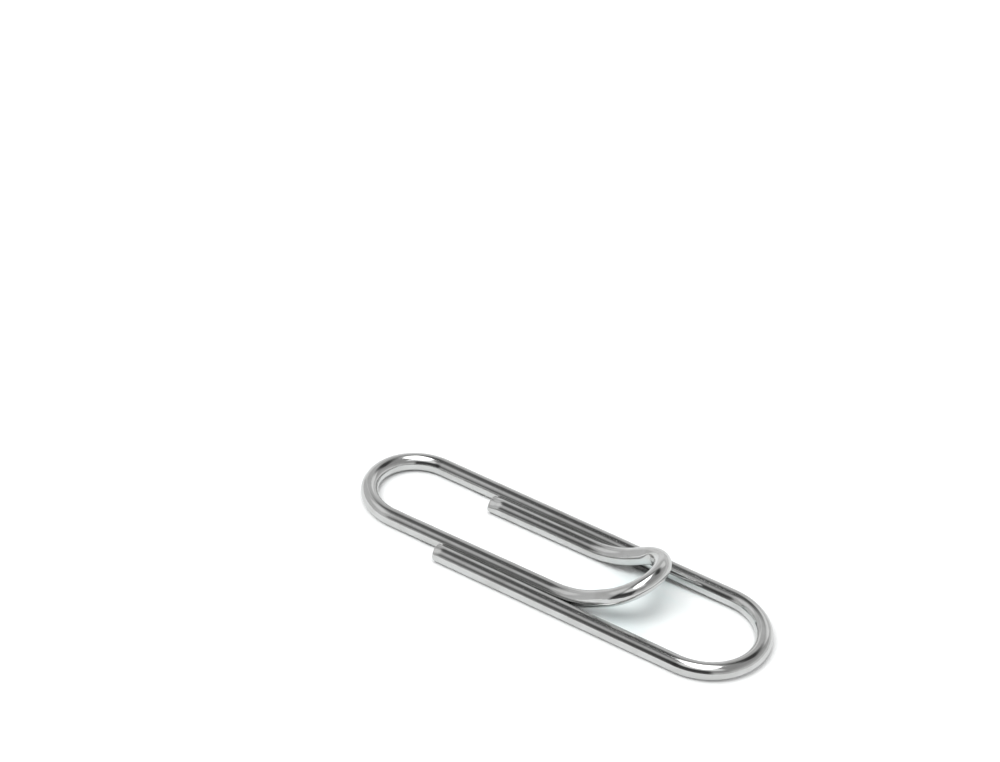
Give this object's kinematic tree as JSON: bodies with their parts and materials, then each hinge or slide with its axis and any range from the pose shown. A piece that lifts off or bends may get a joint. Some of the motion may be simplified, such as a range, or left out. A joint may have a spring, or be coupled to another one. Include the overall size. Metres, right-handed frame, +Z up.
{
  "type": "paper clip",
  "caption": "Lipped wire paper clip: an oval outer loop with a springy inner tongue whose nose is bent up as a lip, to slide over sheets of paper and grip them.",
  "frame": {"origin": "on the surface the clip lies on, under the middle of its outline", "axes": "+X along the clip towards the large bow, +Y across it towards the far outer leg, +Z up, the way the lip rises"},
  "size_m": [0.026, 0.0076, 0.0032],
  "materials": {
    "bright_wire": "bright plated drawn steel wire"
  },
  "bodies": {
    "outer_loop": {"outer_loop": "bright_wire"},
    "tongue": {"tongue": "bright_wire"}
  },
  "joints": [
    {"name": "tongue_flex", "type": "hinge", "parent": "outer_loop", "child": "tongue", "pos_m": [-0.0125, 0.00052, 0.0005], "axis": [0, -1, 0], "range_deg": [0, 10], "stiffness_Nm_per_rad": 0.45}
  ]
}
